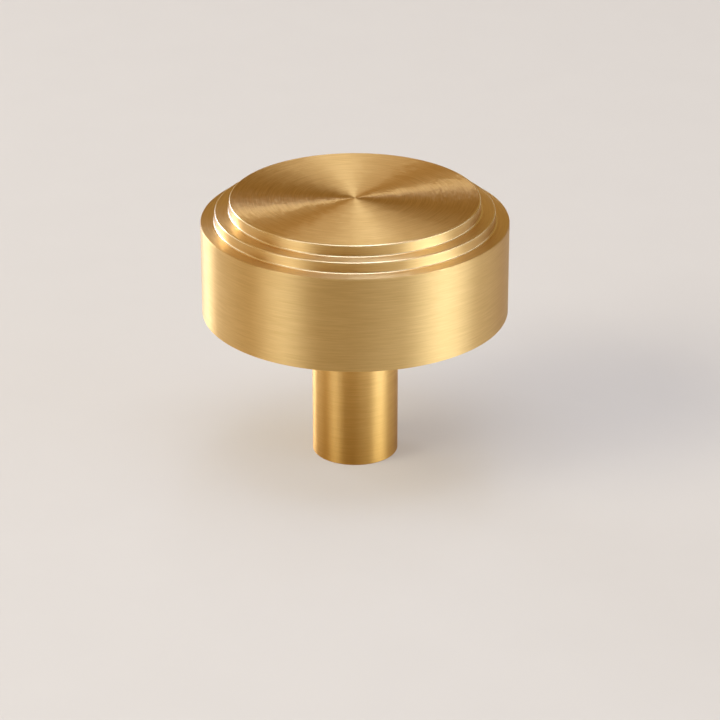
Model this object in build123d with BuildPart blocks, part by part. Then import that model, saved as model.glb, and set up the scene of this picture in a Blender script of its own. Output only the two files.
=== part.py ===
from build123d import *

import os
from math import radians, tan

# Stepped cabinet knob, turned in one piece from brass bar. Sizes are in millimetres.
# It stands on its foot at z = 0 with its axis on Z, so the face that the hand meets
# points up and the foot goes against the cabinet door.

# Head: a deep plain band, with two narrow ledges stepping in towards the face
head_diameter = 40.0
band_height = 12.6
lower_ledge_width = 1.85
lower_step_height = 1.45
upper_ledge_width = 1.9
upper_step_height = 1.5

# Stem: a plain post that holds the head off the door
stem_diameter = 11.3
stem_length = 20.2

# Inside corners keep the nose radius of the turning tool, outside edges are broken
tool_nose_radius = 0.28
step_edge_chamfer = 0.18
band_edge_chamfer = 0.13
foot_edge_chamfer = 0.2

# Blind hole up the stem, drilled for an M4 thread
tap_drill_diameter = 3.3
mouth_diameter = 4.4
mouth_angle = 90.0
drill_depth = 14.0
drill_point_angle = 118.0

# Heights and radii that follow from the sizes above
underside_z = stem_length
lower_ledge_z = underside_z + band_height
upper_ledge_z = lower_ledge_z + lower_step_height
face_z = upper_ledge_z + upper_step_height

band_radius = head_diameter / 2
lower_step_radius = band_radius - lower_ledge_width
face_radius = lower_step_radius - upper_ledge_width
stem_radius = stem_diameter / 2
drill_radius = tap_drill_diameter / 2
drill_point_height = drill_radius / tan(radians(drill_point_angle / 2))

with BuildPart() as knob:
    # Half of the section, with sharp corners, turned about the axis of the bar
    with BuildSketch(Plane.XZ):
        with BuildLine():
            Polyline(
                (0, 0),
                (stem_radius, 0),
                (stem_radius, underside_z),
                (band_radius, underside_z),
                (band_radius, lower_ledge_z),
                (lower_step_radius, lower_ledge_z),
                (lower_step_radius, upper_ledge_z),
                (face_radius, upper_ledge_z),
                (face_radius, face_z),
                (0, face_z),
                close=True,
            )
        make_face()
    revolve(axis=Axis.Z)

    # The turned rims, level by level from the foot up to the face
    rims = knob.edges().filter_by(GeomType.CIRCLE).group_by(Axis.Z)
    foot_rim, underside_rims, lower_rims, upper_rims, face_rim = rims

    # Each shoulder has an inside corner at its small rim and an edge at its large one
    inside_corners = [
        shoulder.sort_by(SortBy.RADIUS)[0]
        for shoulder in (underside_rims, lower_rims, upper_rims)
    ]
    step_edges = [upper_rims.sort_by(SortBy.RADIUS)[-1], face_rim[0]]
    band_edges = [
        underside_rims.sort_by(SortBy.RADIUS)[-1],
        lower_rims.sort_by(SortBy.RADIUS)[-1],
    ]
    fillet(inside_corners, radius=tool_nose_radius)
    chamfer(step_edges, length=step_edge_chamfer)
    chamfer(band_edges, length=band_edge_chamfer)
    chamfer(foot_rim, length=foot_edge_chamfer)

    # The blind hole goes up from the foot: countersunk mouth, wall, then the drill's point
    foot = knob.faces().sort_by(Axis.Z)[0]
    with Locations(foot):
        CounterSinkHole(
            radius=drill_radius,
            counter_sink_radius=mouth_diameter / 2,
            depth=drill_depth,
            counter_sink_angle=mouth_angle,
        )
    with Locations((0, 0, drill_depth)):
        Cone(
            bottom_radius=drill_radius,
            top_radius=0,
            height=drill_point_height,
            align=(Align.CENTER, Align.CENTER, Align.MIN),
            mode=Mode.SUBTRACT,
        )

knob.part.label = "knob"

os.makedirs("parts", exist_ok=True)
export_step(knob.part, "parts/knob.step")
print(f"knob: {knob.part.volume:.0f} cubic mm, {len(knob.part.solids())} solid")
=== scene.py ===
# %% [markdown]
# # A stepped brass cabinet knob
# The knob is one piece of brass, turned on a lathe: a deep round head with two small steps under
# its face, and a plain stem with a tapped hole up its middle. Nearly all of its look comes from the
# fine lines that the tool and the emery cloth leave round every face, so this lesson spends most
# of its time on the small edges that catch light and on how lined metal spreads a reflection.

import math

import bmesh
import bpy
from mathutils import Matrix, Vector


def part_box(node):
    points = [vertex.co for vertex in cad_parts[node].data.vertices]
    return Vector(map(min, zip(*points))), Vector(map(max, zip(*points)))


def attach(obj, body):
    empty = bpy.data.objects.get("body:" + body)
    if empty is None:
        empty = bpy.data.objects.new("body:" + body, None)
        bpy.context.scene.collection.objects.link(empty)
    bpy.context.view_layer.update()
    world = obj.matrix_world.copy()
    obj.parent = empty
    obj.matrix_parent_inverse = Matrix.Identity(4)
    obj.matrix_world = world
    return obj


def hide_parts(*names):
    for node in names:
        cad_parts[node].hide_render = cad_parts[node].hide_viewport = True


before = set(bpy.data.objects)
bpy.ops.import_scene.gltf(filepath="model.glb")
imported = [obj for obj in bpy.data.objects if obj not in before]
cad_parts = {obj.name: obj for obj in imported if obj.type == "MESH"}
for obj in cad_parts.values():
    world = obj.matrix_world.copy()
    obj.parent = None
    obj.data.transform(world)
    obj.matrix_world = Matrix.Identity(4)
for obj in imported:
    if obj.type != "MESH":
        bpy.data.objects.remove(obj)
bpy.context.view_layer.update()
knob_low, knob_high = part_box("knob")
print("CAD box of the knob:", tuple(knob_low), tuple(knob_high))

# %% [markdown]
# ## The outline of half the knob
# A lathe makes whatever outline the tool follows. The outline here is half of the knob's section,
# with sharp corners, from the middle of the face out and down to the mouth of the hole. It could be
# traced point by point with every little rounding in it, but a few sharp corners are easier to read
# and to change, and the roundings come later as bevels. Only the break at the band's upper edge is
# in the outline itself, because it is steeper than a bevel would make it.

# %% Half the section, as a chain of edges
mm = 0.001
face_r = 16.25 * mm
step_r = 18.15 * mm
band_r = min(knob_high.x, knob_high.y)
stem_r = 5.65 * mm
face_z = knob_high.z
upper_ledge_z = 34.25 * mm
lower_ledge_z = 32.8 * mm
underside_z = 20.2 * mm
edge_in, edge_down = 0.07 * mm, 0.15 * mm
mouth_r, mouth_in = 2.2 * mm, 0.15 * mm
long_from, cuts_in_run = 4 * mm, 5

corners = [
    (0, face_z),
    (face_r, face_z),
    (face_r, upper_ledge_z),
    (step_r, upper_ledge_z),
    (step_r, lower_ledge_z),
    (band_r - edge_in, lower_ledge_z),
    (band_r, lower_ledge_z - edge_down),
    (band_r, underside_z),
    (stem_r, underside_z),
    (stem_r, 0),
    (mouth_r, 0),
    (mouth_r - mouth_in, mouth_in),
]


def chain(bm, points):
    """Joins points of a section, given as (radius, height), with edges."""
    verts = [bm.verts.new((radius, 0, height)) for radius, height in points]
    edges = [bm.edges.new(pair) for pair in zip(verts, verts[1:])]
    return verts + edges


knob = bmesh.new()
chain(knob, corners)
long_runs = [edge for edge in knob.edges if edge.calc_length() > long_from]
bmesh.ops.subdivide_edges(knob, edges=long_runs, cuts=cuts_in_run)
print("outline edges:", len(knob.edges))

# %% [markdown]
# ## Turning it
# Spin sweeps the chain round the Z axis, as the bar turns against the tool. Blender has a modifier
# that would do the same, but the bmesh operator leaves a plain mesh that the next steps can cut. The
# vertices that started on the axis land on each other and are merged into one at the middle of the
# face.

# %% Spin the outline round the axis
lathe_axis = (0, 0, 1)
around = 256
weld = 0.002 * mm


def turn(bm, section, steps, turns=1, rise=0):
    """Spins a section round the axis, with a rise at each step, and merges what meets."""
    bmesh.ops.spin(
        bm, geom=section, cent=(0, 0, 0), axis=lathe_axis, dvec=(0, 0, rise), angle=turns * math.tau,
        steps=steps, use_merge=(rise == 0), use_duplicate=False,
    )
    bmesh.ops.remove_doubles(bm, verts=bm.verts[:], dist=weld)


turn(knob, knob.verts[:] + knob.edges[:], around)
print("turned faces:", len(knob.faces))

# %% [markdown]
# ## Coves and broken edges
# Nothing turned has a perfectly sharp corner. The tool's rounded nose leaves a small cove inside
# each step, and every outside edge is broken so that it won't cut a finger. These strips are only
# a quarter of a millimetre wide, but they draw the bright lines round the steps. A bevel on each
# rim makes both, because bevel works on inside corners as well as outside ones. Each strip that
# looks up also gets a 1 in a face attribute, which the brass reads later. It makes the strip
# smoother, as rubbing does, and paints it a paler brass, a painted highlight that brightens those
# lines.

# %% Bevel the rims
hair = 0.01 * mm
rim_segments = 6


def rim(bm, radius, height):
    """The ring of edges at one radius and height."""
    def on_it(vert):
        return abs(vert.co.xy.length - radius) < hair and abs(vert.co.z - height) < hair

    return [edge for edge in bm.edges if all(on_it(vert) for vert in edge.verts)]


def round_rim(bm, radius, height, size):
    """Bevels that ring, and gives the faces of the new strip."""
    return bmesh.ops.bevel(
        bm, geom=rim(bm, radius, height), offset=size, offset_type='OFFSET', segments=rim_segments,
        profile=0.5, affect='EDGES', clamp_overlap=True, material=-1,
    )["faces"]


nose = 0.28 * mm
step_break = 0.2 * mm
band_break = 0.13 * mm
foot_break = 0.2 * mm
looks_up = 0.4
burnish_and_highlight = knob.faces.layers.float.new("burnish_and_highlight")
for radius, height, size in [
    (face_r, face_z, step_break),
    (face_r, upper_ledge_z, nose),
    (step_r, upper_ledge_z, step_break),
    (step_r, lower_ledge_z, nose),
    (band_r, underside_z, band_break),
    (stem_r, underside_z, nose),
    (stem_r, 0, foot_break),
]:
    strip = round_rim(knob, radius, height, size)
    for face in strip:
        # Strips that face up get 1: rubbed smoother, and a painted highlight of paler brass.
        face[burnish_and_highlight] = 1 if face.normal.z > looks_up else 0
    where = (round(radius / mm, 2), round(height / mm, 2))
    print("rim at radius and height", where, "mm has", len(strip), "faces")

# %% [markdown]
# ## Rubbing the steps
# Emery cloth pressed round the head rubs the two steps harder than the broad face or the band. Their
# ledges come out smooth, and their number passes the threshold for the paler brass, so they also get
# a painted highlight. Their short walls come out only a little smoother than the rest, with no paler
# colour. A mask could be painted by hand, but on a turned part the height and the way a face looks
# already say which face it is, so the same attribute takes a smaller number there.

# %% Mark the ledges and the short walls
# Ledges get a painted highlight of paler brass as well as smoothing; the short walls get smoothing
# only.
ledge_rub_and_highlight, riser_rub = 0.55, 0.3
lies_level = 0.99
rubbed = 0
for face in knob.faces:
    if lower_ledge_z - hair < face.calc_center_median().z < face_z - hair:
        rub = ledge_rub_and_highlight if face.normal.z > lies_level else riser_rub
        face[burnish_and_highlight] = max(face[burnish_and_highlight], rub)
        rubbed += 1
print("rubbed faces on the steps:", rubbed)

# %% [markdown]
# ## The tapped hole
# The hole goes up the stem: a short countersink, an M4 thread, then the plain drilled end with the
# drill's cone. A thread could be faked with a bump, but seen from below the real thing shows its
# winding edges, so one tooth is swept up a helix. Spin does that when dvec lifts each step. The top
# of one turn lands on the bottom of the next, and merging closes them.

# %% Sweep one tooth up a helix, then trim it
pitch = 0.7 * mm
crest_r = 1.65 * mm
root_r = 2.0 * mm
flank_angle = math.radians(30)
flank = (root_r - crest_r) * math.tan(flank_angle)
root_flat = pitch / 8
crest_flat = pitch - root_flat - 2 * flank
thread_low, thread_high = 0.25 * mm, 11.8 * mm
thread_turns, per_turn = 19, 64
trim_snap = 0.0001 * mm

tooth = [
    (crest_r, -pitch),
    (crest_r, crest_flat - pitch),
    (root_r, crest_flat + flank - pitch),
    (root_r, crest_flat + flank + root_flat - pitch),
    (crest_r, 0),
]
thread = bmesh.new()
turn(thread, chain(thread, tooth), thread_turns * per_turn, thread_turns, pitch / per_turn)
for height, side in ((thread_low, -1), (thread_high, 1)):
    bmesh.ops.bisect_plane(
        thread, geom=thread.verts[:] + thread.edges[:] + thread.faces[:], dist=trim_snap,
        plane_co=(0, 0, height), plane_no=(0, 0, side), clear_outer=True,
    )
print("thread faces:", len(thread.faces))

# %% [markdown]
# The drilled end is one more turned outline. All three shapes go into one mesh, and bridges close
# the gaps from the countersink to the thread and from the thread to the drilled end. Each gap could
# be closed by hand, but the two rings of open edges beside it are easy to find by their height.

# %% Drilled end, and bridges
drilled_from, drilled_to = 12.3 * mm, 14.0 * mm
point_angle = math.radians(118)
tip_z = drilled_to + crest_r / math.tan(point_angle / 2)
drill_end = bmesh.new()
end_section = [(crest_r, drilled_from), (crest_r, drilled_to), (0, tip_z)]
turn(drill_end, chain(drill_end, end_section), per_turn)

for shape in (thread, drill_end):
    scrap = bpy.data.meshes.new("scrap")
    shape.to_mesh(scrap)
    knob.from_mesh(scrap)
    bpy.data.meshes.remove(scrap)
    shape.free()


def open_edges(bm, low, high):
    """Edges on an open border between two heights."""
    return [
        edge for edge in bm.edges
        if edge.is_boundary and all(low < vert.co.z < high for vert in edge.verts)
    ]


slack = 0.05 * mm
for low, high in ((mouth_in, thread_low), (thread_high, drilled_from)):
    rings = open_edges(knob, low - slack, high + slack)
    bmesh.ops.bridge_loops(knob, edges=rings)
    print("bridged", len(rings), "open edges")

bmesh.ops.recalc_face_normals(knob, faces=knob.faces[:])
print("open edges left:", sum(not edge.is_manifold for edge in knob.edges))

# %% [markdown]
# ## Smooth shading that stays flat where the metal is flat
# Smooth shading blends the direction of neighbouring faces, and next to a tiny bevel that would
# bend the light on the whole ledge. Extra loops beside each bevel would hold it, but the Weighted
# Normal modifier does it without more faces: large faces decide the direction at their corners.

# %% Make the object
sharp_from = math.radians(20)
for face in knob.faces:
    face.smooth = True
for edge in knob.edges:
    edge.smooth = edge.calc_face_angle(0) < sharp_from

mesh = bpy.data.meshes.new("turned_knob")
knob.to_mesh(mesh)
knob.free()
turned_knob = bpy.data.objects.new("turned_knob", mesh)
bpy.context.scene.collection.objects.link(turned_knob)
hold_flats = turned_knob.modifiers.new("hold_flats", 'WEIGHTED_NORMAL')
hold_flats.keep_sharp = True
hold_flats.weight = 80

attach(turned_knob, "root")
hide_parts("knob")
print("knob triangles:", sum(len(face.vertices) - 2 for face in mesh.polygons))

# %% [markdown]
# ## Lines from the lathe
# Brushed metal looks the way it does because it is covered in fine parallel lines. On a turned
# part they run round the axis on every face: rings on the face and the ledges, hoops on the band
# and the stem. An image could hold them, but a noise that is squeezed across the lines and
# stretched along them gives endless ones that never repeat. Radius minus height changes steadily
# along the whole outline, so that one number counts lines on flat faces and walls alike.

# %% Nodes that count the turning lines
def put(tree, kind, inputs=None, **settings):
    """Adds a node with its settings, and gives its inputs, by name or number, values or links."""
    node = tree.nodes.new(kind)
    for name, value in settings.items():
        setattr(node, name, value)
    for socket, value in (inputs or {}).items():
        if isinstance(value, bpy.types.NodeSocket):
            tree.links.new(value, node.inputs[socket])
        else:
            node.inputs[socket].default_value = value
    return node


def maths(tree, operation, *values):
    """The result of a Math node."""
    return put(tree, "ShaderNodeMath", dict(enumerate(values)), operation=operation).outputs[0]


def vector(tree, operation, *values):
    """The result of a Vector Math node whose result is a vector."""
    return put(tree, "ShaderNodeVectorMath", dict(enumerate(values)), operation=operation).outputs[0]


brass = bpy.data.materials.new("brushed_brass")
brass.use_nodes = True
alloy = brass.node_tree
metal = alloy.nodes["Principled BSDF"]

place = put(alloy, "ShaderNodeTexCoord").outputs["Object"]
x, y, z = put(alloy, "ShaderNodeSeparateXYZ", {0: place}).outputs
sideways = put(alloy, "ShaderNodeCombineXYZ", {0: x, 1: y}).outputs[0]
from_axis = put(alloy, "ShaderNodeVectorMath", {0: sideways}, operation='LENGTH').outputs["Value"]
along_outline = maths(alloy, 'SUBTRACT', from_axis, z)
wound = put(alloy, "ShaderNodeCombineXYZ", {0: x, 1: y, 2: along_outline}).outputs[0]


def turning_lines(per_metre, streaks):
    """Noise with so many lines, and so many streaks along each of them, to a metre."""
    squeezed = vector(alloy, 'MULTIPLY', wound, (streaks, streaks, per_metre))
    noise = {"Vector": squeezed, "Scale": 1, "Detail": 3, "Roughness": 0.65}
    return put(alloy, "ShaderNodeTexNoise", noise).outputs[0]


print("nodes that place the lines:", len(alloy.nodes))

# %% [markdown]
# ## Which way the lines run
# A line spreads a reflection across itself and hardly at all along itself. That is why a turned
# face shows bright rays from its middle, and a turned wall shows upright bands of light. The
# shader's anisotropy does this once its Tangent says which way the lines run. A radial Tangent node
# would give perfect hoops, but then the rays look computed. So the hoop direction comes from a
# cross product with the axis, and noise lets each line sway off it: up to about ten degrees on the
# flat faces, which were rubbed by hand, and less than one on the walls.

# %% Hoops that sway a little
def spread(tree, value, low, high, to_low=0, to_high=1, **settings):
    """Maps one range of a value onto another, and holds it at the ends."""
    ends = {0: value, 1: low, 2: high, 3: to_low, 4: to_high}
    return put(tree, "ShaderNodeMapRange", ends, **settings).outputs[0]


noise_low, noise_high = 0.3, 0.7
sway_lines, sway_streaks = 6000, 850
wall_sway, flat_sway = 0.012, 0.18

hoop = vector(alloy, 'NORMALIZE', vector(alloy, 'CROSS_PRODUCT', lathe_axis, place))
facing_out = put(alloy, "ShaderNodeNewGeometry").outputs["Normal"]
across = vector(alloy, 'CROSS_PRODUCT', facing_out, hoop)
level = put(alloy, "ShaderNodeSeparateXYZ", {0: facing_out}).outputs[2]
most_sway = spread(alloy, level, 0, 1, wall_sway, flat_sway)
wander = spread(alloy, turning_lines(sway_lines, sway_streaks), noise_low, noise_high, -1, 1)
sway = maths(alloy, 'MULTIPLY', wander, most_sway)
tilted = put(alloy, "ShaderNodeVectorMath", {0: across, "Scale": sway}, operation='SCALE').outputs[0]
run_of_lines = vector(alloy, 'ADD', hoop, tilted)
alloy.links.new(run_of_lines, metal.inputs["Tangent"])
print("most sway on a flat face, in degrees:", round(math.degrees(flat_sway), 1))

# %% [markdown]
# ## Brass
# Brass is a yellow metal, so its colour goes into Base Color with Metallic at 1, and the shader
# tints every reflection with it. One flat colour would read as plastic: real lines are paler where
# they stand proud and browner in the grooves, so the line noise mixes two tones of brass, with a
# slow cloud over them. Anisotropy at 1 gives the long rays, and a quarter turn of its rotation lays
# them across the lines.

# %% Two tones of brass
quarter_turn = 0.25
metal.inputs["Metallic"].default_value = 1
metal.inputs["Anisotropic"].default_value = 1
metal.inputs["Anisotropic Rotation"].default_value = quarter_turn
groove_tone, ridge_tone = (0.675, 0.415, 0.13, 1), (0.82, 0.545, 0.205, 1)
tone_lines, tone_streaks = 6500, 240
wall_contrast, flat_contrast = 0.8, 1.3
clouds_per_metre, cloud_share = 150, 0.2
halfway = 0.5


def between(tree, low, high, factor):
    """A colour between two, by a factor from 0 to 1."""
    return put(tree, "ShaderNodeMix", {0: factor, 6: low, 7: high}, data_type='RGBA').outputs[2]


contrast = spread(alloy, level, 0, 1, wall_contrast, flat_contrast)
lines = spread(alloy, turning_lines(tone_lines, tone_streaks), noise_low, noise_high, -halfway, halfway)
streak = maths(alloy, 'MULTIPLY_ADD', lines, contrast, halfway)
clouding = {"Vector": place, "Scale": clouds_per_metre, "Detail": 2}
cloud = put(alloy, "ShaderNodeTexNoise", clouding).outputs[0]
from_streak = maths(alloy, 'MULTIPLY', streak, 1 - cloud_share)
from_cloud = maths(alloy, 'MULTIPLY', cloud, cloud_share)
shade = maths(alloy, 'ADD', from_streak, from_cloud)
line_tone = between(alloy, groove_tone, ridge_tone, shade)
print("groove and ridge tones:", groove_tone[:3], ridge_tone[:3])

# %% [markdown]
# ## Painted shade on the stem, and rubbed edges with a painted highlight
# The stem is painted darker and browner towards its foot, a painted shade for the dim floor that it
# mirrors there, and painted lighter just under the head, painted light against the head's shade. The
# edges of the steps are rubbed smoothest by the cloth, and they are also painted a paler brass, a
# painted highlight that makes them shine. Both could be painted by hand, but height alone says where
# the stem's painted shade goes, and the attribute was already put on the bevels when they were made.
# The attribute also takes some of the roughness away, and most of the lines' relief.

# %% Painted stem shade and light, painted edge highlight, gloss and relief
foot_painted_shade, under_head_painted_light = (0.82, 0.68, 0.42, 1), (1.18, 1.14, 1.02, 1)
no_painted_shading = (1, 1, 1, 1)
head_from = underside_z - 0.1 * mm
painted_edge_highlight, highlight_from = (0.94, 0.75, 0.42, 1), 0.3
groove_rough, ridge_rough, edge_smoothing = 0.44, 0.41, 0.22
relief_lines, relief_streaks = 4200, 400
relief, edge_relief = 0.003 * mm, 0.15

# Painted shade and light on the stem, by height: darker towards the foot, lighter under the head.
stem_painted_shade_and_light = between(alloy, foot_painted_shade, under_head_painted_light, spread(alloy, z, 0, underside_z))
painted_stem_shading = between(alloy, stem_painted_shade_and_light, no_painted_shading, maths(alloy, 'GREATER_THAN', z, head_from))
painted_shading_mix = {0: 1, 6: line_tone, 7: painted_stem_shading}
tone_with_painted_shading = put(alloy, "ShaderNodeMix", painted_shading_mix, data_type='RGBA', blend_type='MULTIPLY').outputs[2]

rub_and_highlight_mark = put(alloy, "ShaderNodeAttribute", attribute_name="burnish_and_highlight").outputs["Fac"]
# Painted highlight: faces marked above the threshold are mixed towards a paler brass.
tone = between(alloy, tone_with_painted_shading, painted_edge_highlight, spread(alloy, rub_and_highlight_mark, highlight_from, 1))
line_rough = spread(alloy, shade, 0, 1, groove_rough, ridge_rough)
rough = maths(alloy, 'SUBTRACT', line_rough, maths(alloy, 'MULTIPLY', rub_and_highlight_mark, edge_smoothing))
lines_left = spread(alloy, rub_and_highlight_mark, 0, 1, 1, edge_relief)
depth = maths(alloy, 'MULTIPLY', turning_lines(relief_lines, relief_streaks), lines_left)
bump = put(alloy, "ShaderNodeBump", {"Strength": 1, "Distance": relief, "Height": depth}).outputs[0]
for made, socket in ((tone, "Base Color"), (rough, "Roughness"), (bump, "Normal")):
    alloy.links.new(made, metal.inputs[socket])
turned_knob.data.materials.append(brass)
print("nodes in the brass:", len(alloy.nodes))

# %% [markdown]
# ## The floor
# The knob stands on pale card. White card could be lit until it is bright enough, but that light
# would fall on the brass too and wash it out. Instead the card glows a little, only for rays that
# come from the camera, off something shiny or through something clear, so it looks pale and casts
# nothing. The rest of its brightness is a plain matt colour, which keeps the shadow, with a faint
# mottle so that it doesn't look like a screen. From below the card is clear, so that the foot and
# the hole can be looked at, and it lies a hundredth of a millimetre up, because two faces in one
# plane flicker.

# %% A square of card
floor_half = 2.0
floor_mesh = bpy.data.meshes.new("floor")
grid = bmesh.new()
bmesh.ops.create_grid(grid, x_segments=1, y_segments=1, size=floor_half)
bmesh.ops.translate(grid, verts=grid.verts[:], vec=(0, 0, hair))
grid.to_mesh(floor_mesh)
grid.free()
floor = bpy.data.objects.new("floor", floor_mesh)
bpy.context.scene.collection.objects.link(floor)
print("floor across, in metres:", tuple(floor.dimensions))

# %% Pale from above, clear from below
card_rough, mottles_per_metre = 0.7, 90
card_glow = (0.256, 0.242, 0.226, 1)
card_dark, card_light = (0.351, 0.336, 0.304, 1), (0.369, 0.354, 0.32, 1)

card = bpy.data.materials.new("pale_card")
card.use_nodes = True
fibres = card.node_tree
surface = fibres.nodes["Principled BSDF"]
surface.inputs["Roughness"].default_value = card_rough
surface.inputs["Emission Color"].default_value = card_glow
on_card = put(fibres, "ShaderNodeTexCoord").outputs["Object"]
mottling = {"Vector": on_card, "Scale": mottles_per_metre, "Detail": 5}
mottle = put(fibres, "ShaderNodeTexNoise", mottling).outputs[0]
fibres.links.new(between(fibres, card_dark, card_light, mottle), surface.inputs["Base Color"])

ray = put(fibres, "ShaderNodeLightPath").outputs
shown = ray["Is Camera Ray"]
for kind in ("Is Glossy Ray", "Is Transmission Ray"):
    shown = maths(fibres, 'MAXIMUM', shown, ray[kind])
fibres.links.new(shown, surface.inputs["Emission Strength"])

from_below = put(fibres, "ShaderNodeNewGeometry").outputs["Backfacing"]
clear = put(fibres, "ShaderNodeBsdfTransparent").outputs[0]
two_sides = {0: from_below, 1: surface.outputs["BSDF"], 2: clear}
one_way = put(fibres, "ShaderNodeMixShader", two_sides).outputs[0]
fibres.links.new(one_way, fibres.nodes["Material Output"].inputs["Surface"])
floor.data.materials.append(card)
print("nodes in the card:", len(fibres.nodes))

# %% [markdown]
# ## The camera
# A small thing on a table is usually taken from a little above, through a long lens, so that its
# circles stay round and its sides stay upright. The camera stands 38 cm in front of the knob and 19
# cm up. It could be turned by angles found by trial, but aiming it from where it stands to a point
# on the knob is easier to read and to change.

# %% Camera in front and a little above
camera_data = bpy.data.cameras.new("camera")
camera_data.lens = 158.67
camera_data.sensor_width = 36
camera_data.clip_start = 0.01
camera = bpy.data.objects.new("camera", camera_data)
bpy.context.scene.collection.objects.link(camera)
stand_at = Vector((0, -0.38066, 0.18702))
look_at = Vector((0.00065, 0, 0.01273))
facing = (look_at - stand_at).to_track_quat('-Z', 'Y')
camera.matrix_world = Matrix.Translation(stand_at) @ facing.to_matrix().to_4x4()
bpy.context.scene.camera = camera
looking_down = math.degrees(math.asin((stand_at - look_at).normalized().z))
print("camera looks down by", round(looking_down, 1), "degrees")

# %% [markdown]
# ## Softboxes
# Metal shows little but its surroundings, so lighting it means choosing what it mirrors. In a studio,
# softboxes stand round it: panels of cloth, bright in the middle and fading to their sides, so that
# each highlight ends softly. An area lamp alone has hard sides. Its own node tree can fade it, by how
# far across the panel the light leaves. Each panel is placed by what the knob sees: its bearing, its
# width, and the heights of its lower and upper edge, all in degrees.

# %% A panel of light that fades to its sides
distance = 1.2
knob_middle = Vector((0, 0, 0.02))
cool_white = (0.55, 0.69, 1.0)


def fade_to_sides(data):
    """Dims a lamp from the middle of its panel, at half of its width, out to both sides."""
    data.use_nodes = True
    glow = data.node_tree
    on_panel = put(glow, "ShaderNodeNewGeometry").outputs["Parametric"]
    across_panel = put(glow, "ShaderNodeSeparateXYZ", {0: on_panel}).outputs[0]
    from_middle = maths(glow, 'ABSOLUTE', maths(glow, 'SUBTRACT', across_panel, halfway))
    fade = spread(glow, from_middle, 0, halfway, 1, 0, interpolation_type='SMOOTHSTEP')
    glow.links.new(fade, glow.nodes["Emission"].inputs["Strength"])


def softbox(name, bearing, wide, low, high, brightness, colour=cool_white):
    """A panel that faces the knob. Bearings count from the camera to the right."""
    data = bpy.data.lights.new(name, 'AREA')
    data.shape = 'RECTANGLE'
    swing = math.radians(bearing)
    lift = math.radians((low + high) / 2)
    data.size = 2 * distance * math.cos(lift) * math.tan(math.radians(wide / 2))
    data.size_y = 2 * distance * math.tan(math.radians((high - low) / 2))
    data.energy = brightness * math.pi * data.size * data.size_y
    data.color = colour
    fade_to_sides(data)
    way = Vector((math.sin(swing) * math.cos(lift), -math.cos(swing) * math.cos(lift), math.sin(lift)))
    faced = way.to_track_quat('Z', 'Y').to_matrix().to_4x4()
    light = bpy.data.objects.new(name, data)
    light.matrix_world = Matrix.Translation(knob_middle + way * distance) @ faced
    bpy.context.scene.collection.objects.link(light)
    print(name, "panel:", round(data.size, 2), "by", round(data.size_y, 2), "m")
    return light


print("panels stand", distance, "m from the knob")

# %% [markdown]
# ## Where the panels stand
# A wall of the knob that faces some bearing mirrors what stands at twice that bearing. So the broad
# band on the right comes from a panel well out to the right, the bright left edge from one behind
# on the left, and the soft band left of the middle from one in front. The face looks up, so the
# panels overhead make its long ray. Brass tints all that it mirrors yellow, so the panels are cool,
# or their highlights would come out orange. The last panel is warm and lights only the floor: it
# gives the card its shadow to the right without shining on the brass.

# %% Nine panels for the knob and one for the floor
dusk_white = (0.46, 0.6, 1.0)
day_white = (0.74, 0.83, 0.95)
warm_white = (1.0, 0.92, 0.76)

# Each has a name, a bearing, a width, a lower and an upper edge, a brightness and a tint
softbox("right", 66, 66, 0, 12, 14)
softbox("right_wide", 66, 140, 0, 30, 2.4)
softbox("left", -139, 50, 0, 12, 8, dusk_white)
softbox("left_wide", -118, 80, 0, 30, 1.4)
softbox("left_back", -134, 26, 6, 22, 10, day_white)
softbox("front_left", -53, 58, 0, 20, 4.5)
softbox("key", -57, 40, 22, 44, 2.2)
softbox("over_back", 169, 26, 50, 76, 5)
softbox("over_front", 5, 168, 72, 100, 4.1)

floor_key = softbox("floor_key", -65, 60, 18, 48, 10.8, warm_white)
floor_only = bpy.data.collections.new("floor_only")
floor_only.objects.link(floor)
floor_key.light_linking.receiver_collection = floor_only

# %% [markdown]
# ## The room
# Between the panels the brass mirrors the room, and a black room would leave it dirty brown. The
# world could be one grey, but then the front of the knob, which mirrors what is behind the camera,
# would be as bright as its sides. So the world has four warm tones: a dim wall behind the camera, a
# brighter one on the left, a less bright one on the right, and a pale ceiling that stays clear of
# the camera's side. Each blends into the next over a range of the direction looked in, which goes
# from -1 to 1 along each axis.

# %% Three walls and a ceiling
front_wall = (0.17, 0.108, 0.02, 1)
left_wall, right_wall = (0.49, 0.32, 0.125, 1), (0.31, 0.204, 0.08, 1)
ceiling = (0.72, 0.57, 0.45, 1)
left_to_right = (-0.5, 0.5)
front_to_sides = (-0.9, -0.3)
wall_to_ceiling = (0.6, 0.95)
front_to_ceiling = (-0.8, 0)

world = bpy.data.worlds.new("studio")
bpy.context.scene.world = world
world.use_nodes = True
room = world.node_tree
way_seen = put(room, "ShaderNodeTexCoord").outputs["Generated"]
rightward, backward, upward = put(room, "ShaderNodeSeparateXYZ", {0: way_seen}).outputs
high_up = spread(room, upward, *wall_to_ceiling)
past_front = spread(room, backward, *front_to_ceiling)
overhead = maths(room, 'MULTIPLY', high_up, past_front)
sides = between(room, left_wall, right_wall, spread(room, rightward, *left_to_right))
walls = between(room, front_wall, sides, spread(room, backward, *front_to_sides))
room.links.new(between(room, walls, ceiling, overhead), room.nodes["Background"].inputs["Color"])
bpy.context.scene.view_settings.view_transform = 'Standard'
